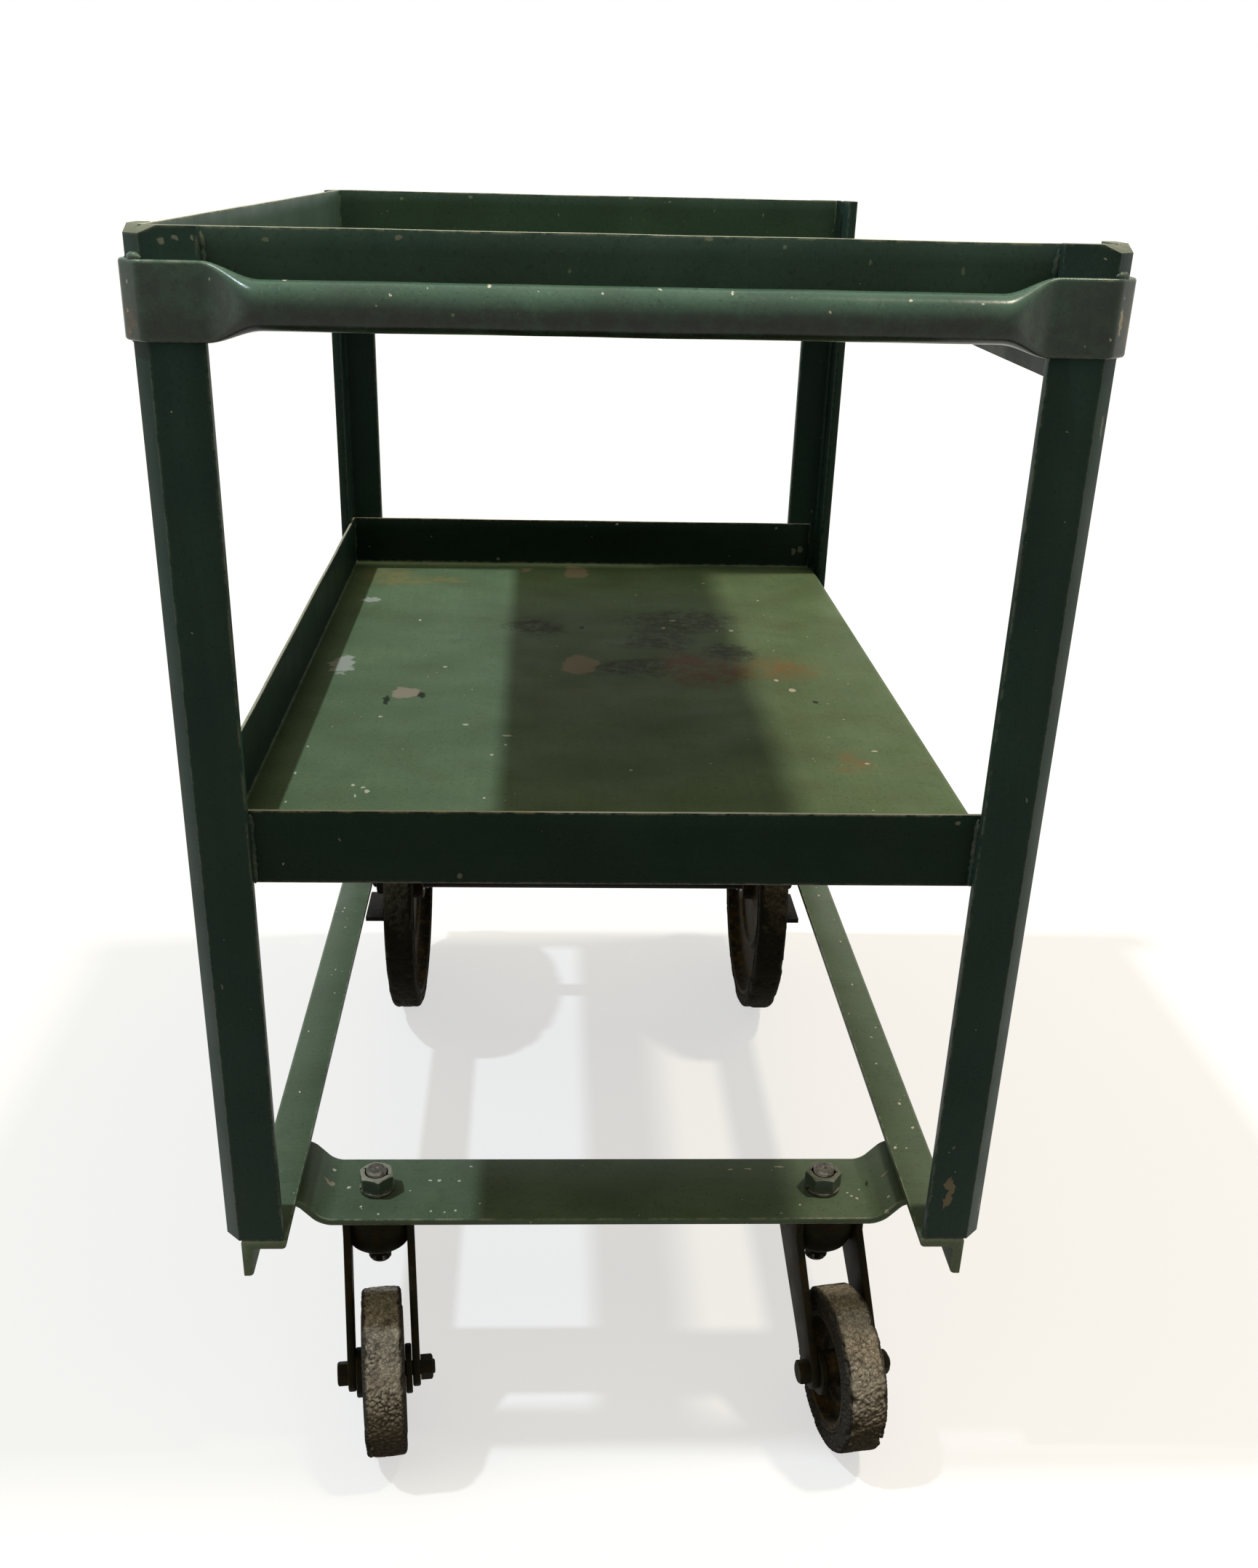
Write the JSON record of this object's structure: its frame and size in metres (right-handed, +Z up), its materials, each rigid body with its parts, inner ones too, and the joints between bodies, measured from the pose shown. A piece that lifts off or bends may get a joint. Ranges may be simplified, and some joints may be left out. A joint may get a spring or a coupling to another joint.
{
  "type": "rolling workshop cart",
  "caption": "Two-tray steel workshop cart with angle corner posts, wrapped push handle, swivel casters at the handle end and large fixed wheels at the far end.",
  "frame": {"origin": "middle of the cart's outline on the floor, under its full length with the wheels", "axes": "+X to the right seen from the handle end, +Y from the handle end to the far end, +Z up"},
  "size_m": [0.6464, 1.0526, 1.018],
  "materials": {
    "enamel_dark": "dark green enamel, chipped and worn",
    "enamel_tray": "faded green enamel with scratches, rust stains and chips",
    "enamel_light": "grey-green enamel, dusty",
    "bare_steel": "dull steel with traces of paint",
    "dark_iron": "dark oxidised iron",
    "bronze": "oiled bronze",
    "tread_rubber": "aged grey rubber with fine cracks",
    "rusty_iron": "brown rust over pressed steel"
  },
  "bodies": {
    "frame": {"post_near_left": "enamel_dark", "post_near_right": "enamel_dark", "post_far_left": "enamel_dark", "post_far_right": "enamel_dark", "top_tray": "enamel_tray", "lower_tray": "enamel_tray", "push_handle": "enamel_light", "runner_left": "enamel_light", "runner_right": "enamel_light", "caster_bar": "enamel_light", "caster_stem_left": "bare_steel", "caster_stem_right": "bare_steel", "lock_washer_left": "bare_steel", "lock_washer_right": "bare_steel", "stem_nut_left": "bare_steel", "stem_nut_right": "bare_steel", "castle_nut_left": "dark_iron", "castle_nut_right": "dark_iron", "far_axle": "dark_iron", "axle_pin_left": "bare_steel", "axle_pin_right": "bare_steel", "axle_washer_left": "bare_steel", "axle_washer_right": "bare_steel", "axle_collar_left": "dark_iron", "axle_collar_right": "dark_iron", "axle_hanger_left": "dark_iron", "axle_hanger_right": "dark_iron"},
    "caster_left_swivel": {"caster_left_fork": "dark_iron", "caster_left_swivel_bush": "bronze", "caster_left_axle_bolt": "dark_iron", "caster_left_axle_nut": "dark_iron", "caster_left_spacer_left": "dark_iron", "caster_left_spacer_right": "dark_iron"},
    "caster_left_wheel": {"caster_left_wheel_disc": "dark_iron", "caster_left_wheel_tyre": "tread_rubber", "caster_left_wheel_bush": "bronze"},
    "caster_right_swivel": {"caster_right_fork": "dark_iron", "caster_right_swivel_bush": "bronze", "caster_right_axle_bolt": "dark_iron", "caster_right_axle_nut": "dark_iron", "caster_right_spacer_left": "dark_iron", "caster_right_spacer_right": "dark_iron"},
    "caster_right_wheel": {"caster_right_wheel_disc": "dark_iron", "caster_right_wheel_tyre": "tread_rubber", "caster_right_wheel_bush": "bronze"},
    "far_left_wheel": {"far_left_wheel_disc": "rusty_iron", "far_left_wheel_tyre": "tread_rubber", "far_left_wheel_bush": "bronze"},
    "far_right_wheel": {"far_right_wheel_disc": "rusty_iron", "far_right_wheel_tyre": "tread_rubber", "far_right_wheel_bush": "bronze"}
  },
  "joints": [
    {"name": "caster_left_swivel_turn", "type": "hinge", "parent": "frame", "child": "caster_left_swivel", "pos_m": [-0.204, -0.36371, 0.17], "axis": [0, 0, 1], "continuous": true},
    {"name": "caster_left_wheel_spin", "type": "hinge", "parent": "caster_left_swivel", "child": "caster_left_wheel", "pos_m": [-0.19408, -0.45215, 0.073], "axis": [0.9938, 0.1115, 0], "continuous": true},
    {"name": "caster_right_swivel_turn", "type": "hinge", "parent": "frame", "child": "caster_right_swivel", "pos_m": [0.204, -0.36371, 0.17], "axis": [0, 0, 1], "continuous": true},
    {"name": "caster_right_wheel_spin", "type": "hinge", "parent": "caster_right_swivel", "child": "caster_right_wheel", "pos_m": [0.21792, -0.45161, 0.073], "axis": [0.9877, 0.1564, 0], "continuous": true},
    {"name": "far_left_wheel_spin", "type": "hinge", "parent": "frame", "child": "far_left_wheel", "pos_m": [-0.234, 0.34884, 0.1775], "axis": [1, 0, 0], "continuous": true},
    {"name": "far_right_wheel_spin", "type": "hinge", "parent": "frame", "child": "far_right_wheel", "pos_m": [0.234, 0.34884, 0.1775], "axis": [1, 0, 0], "continuous": true}
  ]
}
